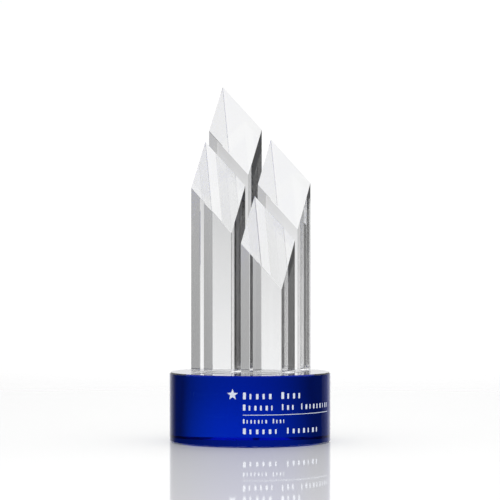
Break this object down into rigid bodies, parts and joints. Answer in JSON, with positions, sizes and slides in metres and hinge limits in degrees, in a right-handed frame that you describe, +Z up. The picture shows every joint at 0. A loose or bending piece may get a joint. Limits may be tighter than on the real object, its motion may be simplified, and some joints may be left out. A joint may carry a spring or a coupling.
{
  "type": "column trophy",
  "caption": "Clear crystal columns, cut to one slanting plane, bonded to a round blue crystal base with a white-filled engraved front.",
  "frame": {"origin": "centre of the round base's underside", "axes": "+Z up along the columns, -Y towards the front corner of the shortest column, +X to the right seen from the front"},
  "size_m": [0.095, 0.095, 0.2117],
  "materials": {
    "clear_crystal": "polished",
    "blue_crystal": "polished",
    "adhesive": "clear cured film",
    "paint_fill": "matte white paint in sand-carved recesses"
  },
  "bodies": {
    "root": {"base": "blue_crystal", "column_back": "clear_crystal", "column_left": "clear_crystal", "column_right": "clear_crystal", "column_front": "clear_crystal", "bond_back": "adhesive", "bond_left": "adhesive", "bond_right": "adhesive", "bond_front": "adhesive", "fill_star": "paint_fill", "fill_title": "paint_fill", "fill_subtitle": "paint_fill", "fill_rule": "paint_fill", "fill_caption": "paint_fill", "fill_name": "paint_fill"}
  },
  "joints": []
}
